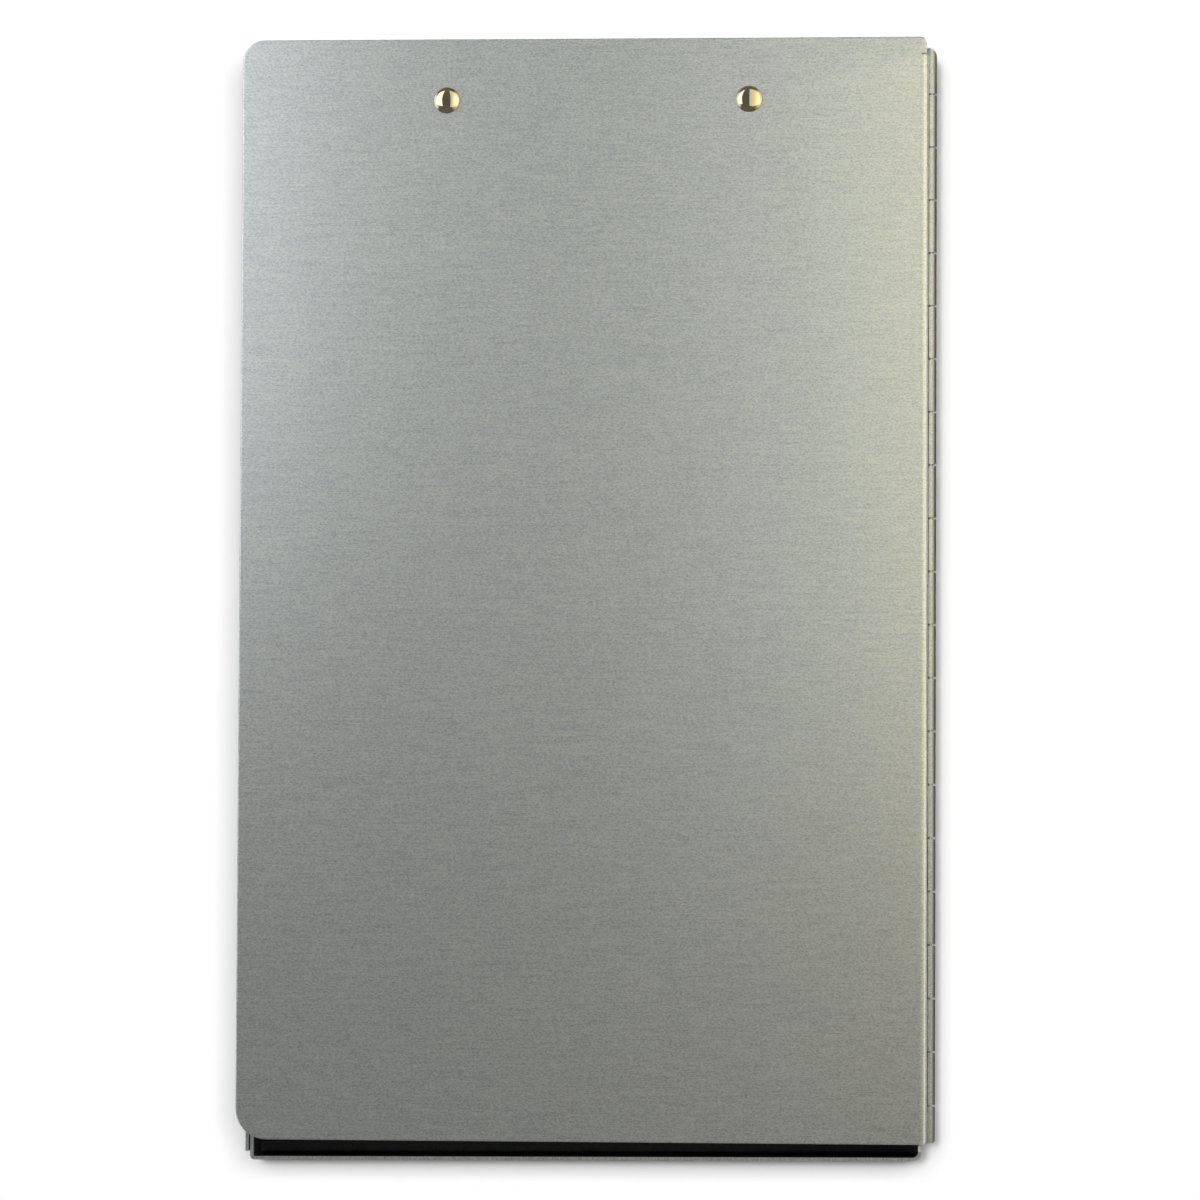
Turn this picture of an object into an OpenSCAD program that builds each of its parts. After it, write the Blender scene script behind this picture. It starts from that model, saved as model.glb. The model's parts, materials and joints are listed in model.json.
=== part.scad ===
// Storage clipboard box in folded aluminium sheet: an open tray, a back plate hinged along
// its right-hand side, and a spring clip riveted inside the plate.
// +X points to the hinge, +Y to the clip end, +Z up through the plate. Millimetres.
// The origin is the middle of the outline, level with the underside of the tray's floor.

/* [Back plate] */
// Width of the plate, from its free edge to the outer face of its hinge flange
plate_w = 246; // [200:0.5:300]
// Length of the plate
plate_l = 393.7; // [280:0.1:450]
// Height of the closed case, from under the floor to the plate's outer face
case_h = 25; // [23:0.5:45]
// Radius of the plate's free corner at the clip end
plate_corner_r = 8.1; // [2:0.1:15]
// Radius of the plate's free corner at the open end
end_corner_r = 11; // [2:0.1:15]
// Width of the rounding on the plate's flat corner above the hinge
hinge_corner_w = 1.7; // [0.5:0.1:1.7]
// Length of that rounding along the hinge
hinge_corner_l = 3.4; // [0.5:0.1:4.5]
// Bevel on the plate's folded corner below the hinge
fold_bevel = 1.2; // [0.8:0.1:2.5]

/* [Sheet] */
// Thickness of the aluminium sheet
sheet_t = 1.2; // [1:0.05:1.4]
// Inside radius of every fold in the sheet
fold_r = 1.3; // [1.2:0.1:2]

/* [Tray] */
// How far the plate overhangs the tray's free side, as a finger lip
side_lip = 3.6; // [2:0.1:8]
// How far the plate overhangs the tray at the clip end
top_lip = 2.4; // [1:0.1:3]
// How far the tray reaches past the plate at the open end, at its free side
end_reach = 7.2; // [6.5:0.1:12]
// How much less it reaches at the hinge, so that the slot tapers
end_skew = 1.4; // [0:0.1:2]
// Gap between the tray's rim and the closed plate
rim_gap = 0.1; // [0.05:0.05:0.5]
// Outside radius of the tray's upright corners at the free side
corner_r = 1.6; // [1.5:0.1:5]
// Outside radius of the tray's upright corners at the hinge
hinge_side_r = 3.3; // [1.5:0.1:5]
// Length of the end walls' corner tabs, which lie inside the side walls
tab_l = 20; // [16:0.5:30]
// Gap between a corner tab and its side wall
seam_gap = 0.5; // [0.1:0.05:0.6]
// Distance from the end wall's outer face to the end of the free side wall
wall_stop = 3.1; // [2.9:0.1:6]

/* [Hinge] */
// Diameter of the hinge pin
pin_d = 1.6; // [1.4:0.05:2.2]
// Radial clearance between the pin and its knuckles
pin_clearance = 0.05; // [0.02:0.01:0.1]
// Number of knuckles, of which the first and last belong to the tray
knuckles = 21; // [9:2:31]
// Length of the first knuckle, at the clip end
first_knuckle = 16.6; // [10:0.1:20]
// Length of the last knuckle, at the open end
last_knuckle = 13.1; // [10:0.1:20]
// Gap between neighbouring knuckles
knuckle_gap = 0.6; // [0.3:0.05:1]
// Distance from the plate's clip end to the first knuckle
hinge_inset_top = 3.6; // [3:0.1:8]
// Distance from the plate's open end to the last knuckle
hinge_inset_end = 0.5; // [0.5:0.1:6]
// Distance from the plate's clip end to its hinge flange
flange_inset_top = 6.4; // [5:0.1:10]
// Distance from the plate's open end to the flange below its fold
flange_inset_end = 1.5; // [0.5:0.1:5]
// Straight strip of the flange between its fold and the knuckle windows
flange_strip = 0.75; // [0.3:0.05:3]
// Clearance between a knuckle and the window cut for it
window_gap = 0.3; // [0.2:0.05:1]
// Slit where a knuckle's curl closes on its leaf
curl_gap = 0.35; // [0.2:0.05:0.5]
// Rounding of the first knuckle's outer corner
first_knuckle_r = 3; // [0.5:0.1:3]
// Rounding of the last knuckle's outer corner
last_knuckle_r = 1; // [0.5:0.1:3]
// How far the pin ends inside the end knuckles
pin_inset = 1; // [0.8:0.1:4]

/* [Corner rivets] */
// Distance from the tray's ends to the corner rivets
corner_rivet_y = 13; // [10:0.5:13.5]
// Height of the lower corner rivets
corner_rivet_z = 6.5; // [6:0.1:7]
// Spacing of the two rivets in one corner
corner_rivet_step = 6; // [5.5:0.1:6.5]
// Shank diameter of the corner rivets
corner_rivet_d = 2.4; // [2:0.1:3]
// Head diameter of the corner rivets
corner_rivet_head_d = 4.6; // [4:0.1:5]
// Head height of the corner rivets
corner_rivet_head_h = 0.7; // [0.5:0.05:0.9]

/* [Clip rivets] */
// Distance from the plate's free edge to the left rivet
rivet_from_edge = 73.6; // [70:0.1:80]
// Distance from the plate's clip end to both rivets
rivet_from_top = 22; // [21.5:0.1:40]
// Spacing of the two rivets
rivet_spacing = 108.5; // [105:0.5:112]
// Diameter of the polished domed heads
rivet_head_d = 9.4; // [8:0.1:11]
// Height of the domed heads
rivet_head_h = 2; // [1:0.1:3]
// Diameter of the rivet shanks
rivet_d = 4.8; // [4:0.1:5.5]
// Diameter of the set tails under the clip base
rivet_tail_d = 7.6; // [6.5:0.1:8]
// Height of the set tails
rivet_tail_h = 1.2; // [0.8:0.1:1.6]

/* [Clip] */
// Thickness of the clip's steel sheet
clip_t = 1.2; // [1:0.05:1.4]
// Reach of the clip's base beside each rivet
base_side = 8; // [7:0.5:20]
// Reach of the base in front of the rivets
base_front = 10; // [9.5:0.1:11]
// Reach of the base behind the rivets
base_back = 9.5; // [8:0.1:11]
// Distance from the clip's middle to the outer face of each base ear
ear_x = 44.6; // [38:0.1:46]
// Radius of the ears round the axle
ear_r = 3.2; // [2.8:0.1:3.4]
// Distance of the axle in front of the rivets
axle_front = 3; // [2:0.1:4]
// Height of the axle above the plate's inner face
axle_h = 7; // [6.8:0.1:7.5]
// Diameter of the axle
axle_d = 3; // [2.5:0.1:3.2]
// Radial clearance of the axle in the lever and the base
axle_clearance = 0.05; // [0.02:0.01:0.1]
// Diameter of the axle's peened heads
axle_head_d = 4.8; // [4.2:0.1:5.4]
// Thickness of the axle's heads
axle_head_t = 1; // [0.6:0.1:1.5]
// Gap between a lever ear and its base ear
ear_gap = 0.4; // [0.2:0.05:0.8]
// Height of the paper stops on the base
stop_h = 4.6; // [3:0.1:5]
// Width of each paper stop
stop_w = 9; // [6:0.5:12]

/* [Lever] */
// Width of the jaw
jaw_w = 150; // [130:1:170]
// Width of the thumb tail
tail_w = 70; // [50:1:80]
// Length of the tail behind the axle
tail_l = 19; // [15:0.1:19]
// Length of the lever's flat in front of the axle
front_l = 10; // [9:0.1:12]
// Inside radius of the jaw's nose
nose_r = 5; // [4.5:0.1:5.2]
// Tilt of the closed lever
lever_tilt = 14; // [12:0.5:15]
// Clearance between the lever's flat and the base ears
lever_gap = 0.4; // [0.3:0.05:0.6]
// Radius of the ears of the lever
lever_ear_r = 3; // [2.6:0.1:3.2]
// Rounding of the lever's wings behind the jaw
wing_r = 4; // [1:0.5:6]
// Rounding where a wing meets the tail
shoulder_r = 5; // [1:0.5:6]
// Rounding of the tail's corners
tail_corner_r = 6; // [1:0.5:7]
// Diameter of the rolled edge on the tail
tail_roll_d = 2.6; // [2:0.1:3]
// Height of the jaw's steel edge above the plate
jaw_h = 0.9; // [0.7:0.05:1.2]

/* [Jaw pads] */
// Length of each rubber jaw pad
pad_l = 32; // [20:1:40]
// Distance from the end of the jaw to its pad
pad_inset = 1.5; // [0:0.1:5]
// Wall of the pad round the jaw's edge
pad_t = 1.2; // [0.8:0.1:1.6]
// Height of the pads
pad_h = 2.9; // [2.2:0.1:3]
// Gap between the closed pads and the plate
pad_gap = 0.15; // [0.05:0.05:0.3]
// Clearance between a pad and the jaw's edge
pad_fit = 0.03; // [0:0.01:0.1]

/* [Clip spring] */
// Diameter of the spring wire
wire_d = 1.2; // [0.8:0.05:1.3]
// Mean radius of the coil
coil_r = 2.5; // [2.3:0.05:2.6]
// Number of whole turns
coil_turns = 6; // [3:1:12]
// Gap between neighbouring turns
coil_gap = 0.12; // [0.05:0.01:0.5]
// Length of each leg
leg_l = 11; // [8:0.1:12]
// Gap between a leg's end and the sheet that it presses on
leg_gap = 0.1; // [0.02:0.01:0.3]

/* [Latch] */
// Distance of the latch from the middle of the tray's free side
latch_y = 0; // [-100:1:100]
// Width of the spring catch
catch_w = 18; // [14:0.5:24]
// Thickness of the spring catch
catch_t = 0.5; // [0.3:0.05:0.6]
// Length of the catch's straight foot, which is riveted to the wall
catch_foot_l = 6.5; // [5.5:0.1:8]
// Gap between the foot and the fold of the floor below it
catch_floor_gap = 0.7; // [0.3:0.1:1.5]
// Width of the striker under the plate
striker_w = 16; // [12:0.5:22]
// Thickness of the striker
striker_t = 1; // [0.8:0.1:1.2]
// Length of the striker's foot along the plate
striker_foot = 10; // [8:0.5:16]
// Height of the latch rivets above the catch's lower edge
latch_rivet_up = 3.2; // [2.6:0.1:3.6]
// Spacing of the two latch rivets
latch_rivet_spacing = 10; // [8:0.5:12]
// Shank diameter of the latch rivets
latch_rivet_d = 2; // [1.6:0.1:2.4]
// Head diameter of the latch rivets
latch_rivet_head_d = 3.8; // [3:0.1:4.4]
// Head height of the latch rivets
latch_rivet_head_h = 0.6; // [0.4:0.05:0.8]

/* [Hidden] */
$fn = 64;
cut = 1; // how far a cutter runs past the face that it cuts
weld = 0.02; // how far stretches of one bent sheet run into each other

// Folds and hinge
fold_o = fold_r + sheet_t;
bore_r = pin_d / 2 + pin_clearance;
ring_r = bore_r + sheet_t;
axis_z = case_h - fold_o - flange_strip - window_gap - ring_r;

// Outline of the closed case, centred on the origin
plate_x0 = -(plate_w + bore_r + ring_r) / 2;
flange_x = plate_x0 + plate_w;
axis_x = flange_x + bore_r;
barrel_x = axis_x + ring_r;
tray_y0 = -(plate_l + end_reach) / 2;
plate_y0 = tray_y0 + end_reach;
plate_y1 = plate_y0 + plate_l;
plate_z = case_h - sheet_t; // the plate's inner face

// Tray
tray_x0 = plate_x0 + side_lip;
tray_y1 = plate_y1 - top_lip;
rim_z = plate_z - rim_gap;
tab_x = sheet_t + seam_gap; // from the side wall's outer face to the tab's
taper = end_skew / (flange_x - tray_x0);
function end_y(x) = tray_y0 + taper * (x - tray_x0); // the open end wall's outer face
hinge_tab_z = case_h - fold_o; // tabs beside the hinge stop under the plate's fold
corner_rivet_zs = [corner_rivet_z, corner_rivet_z + corner_rivet_step];

// Hinge stations, counted from the clip end
hinge_y0 = plate_y0 + hinge_inset_end;
hinge_y1 = plate_y1 - hinge_inset_top;
pitch = (hinge_y1 - hinge_y0 - first_knuckle - last_knuckle) / (knuckles - 2);
function knuckle_top(i) = i == 0 ? hinge_y1 : hinge_y1 - first_knuckle - (i - 1) * pitch - knuckle_gap / 2;
function knuckle_end(i) =
    i == knuckles - 1 ? hinge_y0 : hinge_y1 - first_knuckle - i * pitch + knuckle_gap / 2;
window_reach = ring_r + window_gap;
flange_y1 = plate_y1 - flange_inset_top;

// Clip, in its own frame: the origin midway between the rivets on the plate's inner face
clip_x = plate_x0 + rivet_from_edge + rivet_spacing / 2;
clip_y = plate_y1 - rivet_from_top;
base_w = rivet_spacing + 2 * base_side;
lever_off = ear_r + lever_gap; // from the axle's axis to the lever's flat
axle_bore_r = axle_d / 2 + axle_clearance;
lever_ear_x = ear_x - clip_t - ear_gap; // outer face of a lever ear
nose = [
    -axle_front - front_l * cos(lever_tilt) - (lever_off - nose_r) * sin(lever_tilt),
    axle_h - front_l * sin(lever_tilt) + (lever_off - nose_r) * cos(lever_tilt)
];
jaw_y = nose[0] - nose_r; // inner face of the jaw's upright edge

// Clip spring: both legs run backwards, one down to the base and one up to the lever
coil_pitch = wire_d + coil_gap;
leg_reach = norm([coil_r, leg_l]);
leg_lead = atan2(coil_r, leg_l);
base_leg_a = asin((axle_h - clip_t - wire_d / 2 - leg_gap) / leg_reach) - leg_lead;
lever_leg_a = lever_tilt + asin((lever_off - wire_d / 2 - leg_gap) / leg_reach) - leg_lead;
coil_sweep = 180 - base_leg_a - lever_leg_a + 360 * coil_turns;
coil_half = coil_pitch * coil_sweep / 720;
coil_step = 24; // degrees between the rings of the swept wire
coil_count = ceil(coil_sweep / coil_step);

// Latch, measured from the tray wall's inner face and down from the plate's inner face
latch_x = tray_x0 + sheet_t;
catch_foot_z = fold_o + catch_floor_gap - plate_z;
catch_path = [[0, catch_foot_z], [0, catch_foot_z + catch_foot_l], [1.35, -9.8], [3.35, -6.8], [1.15, -3.3]];
striker_x = 5.2; // inner face of the striker's leg
striker_lip_x = 2.9; // tip of the striker's lip
striker_lip_z = -8.8; // upper face of the striker's lip
latch_rivet_z = plate_z + catch_foot_z + latch_rivet_up;

// ---- Helpers -------------------------------------------------------------------------

// Extrudes a section drawn in X and Z along Y.
module along_y(from, to) translate([0, to, 0]) rotate([90, 0, 0]) linear_extrude(to - from) children();

// Extrudes a section drawn in Y and Z along X.
module along_x(from, to) translate([from, 0, 0]) rotate([90, 0, 90]) linear_extrude(to - from) children();

// Quarter of a ring in the quadrant where both coordinates are negative.
module quarter_ring(inner, outer) intersection() {
    difference() {
        circle(outer);
        circle(inner);
    }
    translate([-outer, -outer]) square(outer);
}

// What rounding takes off a square corner whose point lies at the origin.
module corner_waste(r) difference() {
    translate([-cut, -cut]) square(r + cut);
    translate([r, r]) circle(r);
}

// Folded wall: its outer face at x = 0 and the sheet's underside at y = 0.
module wall_section(top) {
    upright_section(top);
    fold_section();
}

module upright_section(top) translate([0, fold_o]) square([sheet_t, top - fold_o]);

module fold_section() translate([fold_o, fold_o]) quarter_ring(fold_r, fold_o);

// Rolled knuckle round the origin, with its leaf hanging down to y = -drop.
module knuckle_section(drop) difference() {
    union() {
        circle(ring_r);
        translate([-ring_r, -drop]) square([sheet_t, drop]);
    }
    circle(bore_r);
    translate([-bore_r, -ring_r]) square([curl_gap, ring_r]);
}

function unit(v) = v / norm(v);
function left_of(v) = [-v[1], v[0]];
function side_at(path, i) = left_of(unit(path[min(i, len(path) - 2) + 1] - path[min(i, len(path) - 2)]));
function mitre_at(path, i) =
    let(a = side_at(path, max(i - 1, 0)), b = side_at(path, i), m = unit(a + b)) m / (m * a);

// Strip of sheet that follows a bent path, all of it on the path's right-hand side.
module ribbon(path, t) polygon(concat(
    path,
    [for (i = [len(path) - 1:-1:0]) path[i] - t * mitre_at(path, i)]
));

// Outline whose corners are given as [x, y, radius], each rounded with an arc.
function at(corner) = [corner[0], corner[1]];
function rounded(corners, steps = 8) = [
    for (i = [0:len(corners) - 1])
        let(
            p = at(corners[i]),
            r = corners[i][2],
            a = unit(at(corners[(i + len(corners) - 1) % len(corners)]) - p),
            b = unit(at(corners[(i + 1) % len(corners)]) - p),
            half = acos(a * b) / 2,
            centre = p + unit(a + b) * r / sin(half),
            from = p + a * r / tan(half) - centre,
            to = p + b * r / tan(half) - centre
        )
        for (k = [0:steps]) centre + r * unit(from + (to - from) * k / steps)
];

// Round wire swept along a path that never runs along X.
module wire(path, r, sides = 10) {
    last = len(path) - 1;
    points = [
        for (i = [0:last])
            let(
                t = unit(path[min(i + 1, last)] - path[max(i - 1, 0)]),
                n = unit(cross(t, [1, 0, 0])),
                b = cross(t, n)
            )
            for (k = [0:sides - 1]) path[i] + r * (cos(k * 360 / sides) * n + sin(k * 360 / sides) * b)
    ];
    polyhedron(points, concat(
        [[for (k = [0:sides - 1]) k]],
        [
            for (i = [0:last - 1], k = [0:sides - 1])
                let(a = i * sides + k, b = i * sides + (k + 1) % sides)
                [a, a + sides, b + sides, b]
        ],
        [[for (k = [sides - 1:-1:0]) last * sides + k]]
    ));
}

// Rivet along Z with a shallow domed head above z = 0 and a flat set tail below z = -grip.
module rivet(shank_d, head_d, head_h, grip, tail_d, tail_h) rotate_extrude() {
    dome_r = (head_d * head_d / 4 + head_h * head_h) / (2 * head_h);
    intersection() {
        translate([0, head_h - dome_r]) circle(dome_r);
        square([head_d / 2, head_h]);
    }
    translate([0, -grip]) square([shank_d / 2, grip]);
    translate([0, -grip - tail_h]) square([tail_d / 2, tail_h]);
}

// ---- Tray ----------------------------------------------------------------------------

// One of the tray's four corners, drawn at the lower left one; the tab ends at tab_l.
module tray_corner(r, top) {
    translate([tab_x + r, r, fold_o]) linear_extrude(rim_z - fold_o) quarter_ring(r - sheet_t, r);
    translate([tab_x, r, fold_o]) cube([sheet_t, tab_l - r, top - fold_o]);
}

module end_wall() {
    along_x(tray_x0 + fold_o, flange_x - fold_o) fold_section();
    along_x(tray_x0 + tab_x + corner_r, flange_x - tab_x - hinge_side_r) upright_section(rim_z);
    translate([tray_x0, 0, 0]) tray_corner(corner_r, rim_z);
    translate([flange_x, 0, 0]) mirror([1, 0, 0]) tray_corner(hinge_side_r, hinge_tab_z);
}

// Puts an end wall at the open end, where its line follows end_y.
module at_open_end()
    multmatrix([[1, 0, 0, 0], [taper, 1, 0, end_y(0)], [0, 0, 1, 0], [0, 0, 0, 1]]) children();

// The floor reaches the folds on all four sides, with a square notch left open in each corner.
module tray_floor() {
    x0 = tray_x0 + fold_o;
    x1 = flange_x - fold_o;
    y1 = tray_y1 - fold_o;
    linear_extrude(sheet_t) polygon([[x0, end_y(x0) + fold_o], [x1, end_y(x1) + fold_o], [x1, y1], [x0, y1]]);
}

// The free side wall, and the lower hinge wall with a leaf and a knuckle at every other station.
module side_walls() {
    translate([tray_x0, 0, 0]) along_y(tray_y0 + wall_stop, tray_y1 - wall_stop) wall_section(rim_z);
    translate([flange_x, 0, 0]) mirror([1, 0, 0])
        along_y(hinge_y0, min(hinge_y1, tray_y1 - fold_o)) wall_section(axis_z - window_reach);
    translate([axis_x, 0, axis_z]) for (i = [0:2:knuckles - 1])
        along_y(knuckle_end(i), knuckle_top(i)) knuckle_section(window_reach);
}

// Puts a rivet drawn along Z through each pair of holes in the tray's corners.
module at_corner_rivets() for (x = [tray_x0, flange_x])
    for (y = [end_y(x) + corner_rivet_y, tray_y1 - corner_rivet_y], z = corner_rivet_zs)
        translate([x, y, z]) rotate([0, x > 0 ? 90 : -90, 0]) children();

module at_latch_rivets()
    for (side = [-1, 1]) translate([tray_x0, latch_y + side * latch_rivet_spacing / 2, latch_rivet_z])
        rotate([0, -90, 0]) children();

// A hole along Z that starts just above the sheet's outer face and goes right through.
module rivet_hole(d, grip) translate([0, 0, -grip - cut]) cylinder(d = d, h = grip + 2 * cut);

module storage_tray() color("silver") difference() {
    union() {
        tray_floor();
        side_walls();
        at_open_end() end_wall();
        translate([0, tray_y1, 0]) mirror([0, 1, 0]) end_wall();
    }
    at_corner_rivets() rivet_hole(corner_rivet_d, tab_x + sheet_t);
    at_latch_rivets() rivet_hole(latch_rivet_d, sheet_t);
    translate([barrel_x, hinge_y1, axis_z - ring_r - cut]) rotate(180)
        linear_extrude(2 * (ring_r + cut)) corner_waste(first_knuckle_r);
    translate([barrel_x, hinge_y0, axis_z - ring_r - cut]) rotate(90)
        linear_extrude(2 * (ring_r + cut)) corner_waste(last_knuckle_r);
}

module corner_rivets() color("gainsboro") at_corner_rivets() rivet(
    corner_rivet_d, corner_rivet_head_d, corner_rivet_head_h, tab_x + sheet_t,
    corner_rivet_head_d, corner_rivet_head_h
);

module hinge_pin() color("lightgray") translate([axis_x, 0, axis_z])
    along_y(hinge_y0 + pin_inset, hinge_y1 - pin_inset) circle(d = pin_d);

// ---- Back plate ----------------------------------------------------------------------

// Flat part of the plate, up to the start of its fold, with its free corners rounded.
module plate_outline() difference() {
    translate([plate_x0, plate_y0]) square([plate_w - fold_o, plate_l]);
    translate([plate_x0, plate_y0]) corner_waste(end_corner_r);
    translate([plate_x0, plate_y1]) rotate(-90) corner_waste(plate_corner_r);
}

// The flat corner left above the flange, beyond the start of the fold.
module plate_corner() {
    corner_w = fold_o - sheet_t / 2;
    corner_l = flange_inset_top - window_gap;
    translate([flange_x - fold_o, plate_y1 - corner_l]) difference() {
        square([corner_w, corner_l]);
        translate([corner_w, corner_l]) rotate(180)
            scale([1, hinge_corner_l / hinge_corner_w]) corner_waste(hinge_corner_w);
    }
}

// Fold and flange, with a leaf and a knuckle at every other station.
module hinge_flange() {
    difference() {
        translate([flange_x, 0, case_h]) mirror([1, 0, 0]) mirror([0, 0, 1])
            along_y(plate_y0, flange_y1) wall_section(fold_o + flange_strip);
        translate([flange_x - fold_bevel, plate_y0, 0]) linear_extrude(case_h + cut)
            polygon([[0, 0], [fold_bevel, fold_bevel], [fold_bevel + cut, 0], [fold_bevel + cut, -cut], [0, -cut]]);
        translate([flange_x - fold_o, plate_y0 - cut, 0])
            cube([fold_o + cut, flange_inset_end + cut, case_h - fold_o]);
    }
    translate([axis_x, 0, axis_z]) for (i = [1:2:knuckles - 2])
        along_y(knuckle_end(i), knuckle_top(i)) mirror([0, 1]) knuckle_section(window_reach);
}

module at_clip_rivets() for (side = [-1, 1])
    translate([clip_x + side * rivet_spacing / 2, clip_y, case_h]) children();

module back_plate() color("silver") difference() {
    union() {
        translate([0, 0, plate_z]) linear_extrude(sheet_t) {
            plate_outline();
            plate_corner();
        }
        hinge_flange();
    }
    at_clip_rivets() rivet_hole(rivet_d, sheet_t);
}

// ---- Clip ----------------------------------------------------------------------------

// The clip's frame: its third axis points from the plate into the tray.
module on_clip() translate([clip_x, clip_y, plate_z]) mirror([0, 0, 1]) children();

// One upright ear of the base, drawn in Y and Z with the axle's bore.
module base_ear_section() translate([-axle_front, axle_h]) difference() {
    union() {
        circle(ear_r);
        translate([-ear_r, -axle_h]) square([2 * ear_r, axle_h]);
    }
    circle(axle_bore_r);
}

// The ears are pushed out of the base, which leaves a window inboard of each.
module clip_base() color("lightsteelblue") on_clip() {
    window_l = axle_h + ear_r - clip_t;
    linear_extrude(clip_t) difference() {
        translate([-base_w / 2, -base_front]) square([base_w, base_front + base_back]);
        for (side = [-1, 1]) {
            translate([side * rivet_spacing / 2, 0]) circle(d = rivet_d);
            translate([side * (ear_x - clip_t - window_l / 2) - window_l / 2, -axle_front - ear_r])
                square([window_l, 2 * ear_r]);
            translate([side * base_w / 2, base_back]) rotate(side > 0 ? 180 : -90) corner_waste(ear_r);
        }
    }
    for (side = [-1, 1]) {
        along_x(side > 0 ? ear_x - clip_t : -ear_x, side > 0 ? ear_x : clip_t - ear_x) base_ear_section();
        translate([side * (base_w - stop_w) / 2 - stop_w / 2, -base_front, 0]) cube([stop_w, clip_t, stop_h]);
    }
}

module clip_axle() color("gainsboro") on_clip() translate([0, -axle_front, axle_h]) {
    head_x = ear_x + axle_clearance;
    along_x(-head_x, head_x) circle(d = axle_d);
    for (side = [-1, 1])
        along_x(side * (head_x + axle_head_t / 2) - axle_head_t / 2, side * (head_x + axle_head_t / 2) + axle_head_t / 2)
            circle(d = axle_head_d);
}

module clip_rivets() color("wheat") at_clip_rivets()
    rivet(rivet_d, rivet_head_d, rivet_head_h, sheet_t + clip_t, rivet_tail_d, rivet_tail_h);

// The lever's bent sheet: tail with a rolled edge, flat over the axle, nose and upright jaw.
module lever_section() {
    translate([-axle_front, axle_h]) rotate(lever_tilt) {
        translate([-front_l - weld, lever_off]) square([front_l + tail_l + weld, clip_t]);
        translate([tail_l, lever_off + clip_t - tail_roll_d / 2]) circle(d = tail_roll_d);
    }
    translate(nose) difference() {
        circle(nose_r + clip_t);
        circle(nose_r);
        translate([-2 * nose_r, -2 * nose_r]) square([4 * nose_r, 2 * nose_r]);
        rotate(lever_tilt) translate([0, -2 * nose_r]) square(4 * nose_r);
    }
    translate([jaw_y - clip_t, jaw_h]) square([clip_t, nose[1] - jaw_h + weld]);
}

// The lever seen from above: full width at the jaw, drawn in to the thumb tail.
module lever_outline() {
    tail_y = tail_l * cos(lever_tilt) - axle_front + tail_roll_d / 4;
    shoulder_y = ear_r;
    wing_y = -2 * axle_front;
    front_y = jaw_y - clip_t;
    half = [
        [jaw_w / 2, front_y, clip_t], [jaw_w / 2, wing_y, wing_r],
        [tail_w / 2, shoulder_y, shoulder_r], [tail_w / 2, tail_y, tail_corner_r]
    ];
    polygon(rounded(concat(
        half,
        [for (i = [len(half) - 1:-1:0]) [-half[i][0], half[i][1], half[i][2]]]
    )));
}

module clip_lever() color("lightsteelblue") on_clip() {
    intersection() {
        along_x(-jaw_w / 2, jaw_w / 2) lever_section();
        linear_extrude(case_h) lever_outline();
    }
    for (side = [-1, 1]) along_x(
        side > 0 ? lever_ear_x - clip_t : -lever_ear_x, side > 0 ? lever_ear_x : clip_t - lever_ear_x
    ) translate([-axle_front, axle_h]) rotate(lever_tilt) difference() {
        union() {
            circle(lever_ear_r);
            translate([-lever_ear_r, 0]) square([2 * lever_ear_r, lever_off]);
        }
        circle(axle_bore_r);
    }
}

// Rubber channel pushed over one end of the jaw's edge.
module jaw_pad(side) color("dimgray") on_clip()
    along_x(side * (jaw_w / 2 - pad_inset - pad_l / 2) - pad_l / 2, side * (jaw_w / 2 - pad_inset - pad_l / 2) + pad_l / 2)
        difference() {
            translate([jaw_y - clip_t - pad_t, pad_gap]) square([clip_t + 2 * pad_t, pad_h]);
            translate([jaw_y - clip_t - pad_fit, jaw_h - pad_fit]) square([clip_t + 2 * pad_fit, pad_h]);
        }

module jaw_pad_left() jaw_pad(-1);

module jaw_pad_right() jaw_pad(1);

// A point in the coil's plane, at x along the axle.
function on_coil(x, p) = [x, p[0] - axle_front, p[1] + axle_h];
function on_circle(a) = coil_r * [cos(a), sin(a)];

module clip_spring() color("lightgray") on_clip() {
    start_a = 270 - base_leg_a;
    base_foot = on_circle(start_a) + leg_l * [cos(base_leg_a), -sin(base_leg_a)];
    lever_foot = on_circle(90 + lever_leg_a) + leg_l * [cos(lever_leg_a), sin(lever_leg_a)];
    wire(concat(
        [on_coil(-coil_half, base_foot)],
        [
            for (i = [0:coil_count])
                on_coil(-coil_half + 2 * coil_half * i / coil_count, on_circle(start_a - coil_sweep * i / coil_count))
        ],
        [on_coil(coil_half, lever_foot)]
    ), wire_d / 2);
}

// ---- Latch ---------------------------------------------------------------------------

// Bent spring strip on the inside of the tray's free side; its hump snaps over the striker.
module latch_catch() color("lightgray") difference() {
    translate([latch_x, 0, plate_z]) along_y(latch_y - catch_w / 2, latch_y + catch_w / 2) ribbon(catch_path, catch_t);
    at_latch_rivets() rivet_hole(latch_rivet_d, sheet_t + catch_t);
}

module latch_rivets() color("gainsboro") at_latch_rivets() rivet(
    latch_rivet_d, latch_rivet_head_d, latch_rivet_head_h, sheet_t + catch_t,
    latch_rivet_head_d, latch_rivet_head_h
);

// Angle spot-welded under the plate, with a lip that turns back under the catch's hump.
module latch_striker() color("silver") translate([latch_x, 0, plate_z])
    along_y(latch_y - striker_w / 2, latch_y + striker_w / 2) ribbon([
        [striker_lip_x, striker_lip_z],
        [striker_x, striker_lip_z],
        [striker_x, 0],
        [striker_x + striker_foot, 0]
    ], striker_t);

storage_tray();
back_plate();
hinge_pin();
corner_rivets();
clip_base();
clip_axle();
clip_rivets();
clip_lever();
jaw_pad_left();
jaw_pad_right();
clip_spring();
latch_catch();
latch_rivets();
latch_striker();
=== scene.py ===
"""Looks of a side-hinged sheet-metal clipboard case: finishes, broken edges, fasteners, light and view."""

import json
from math import asin, atan2, ceil, cos, degrees, hypot, pi, radians, sin

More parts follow.
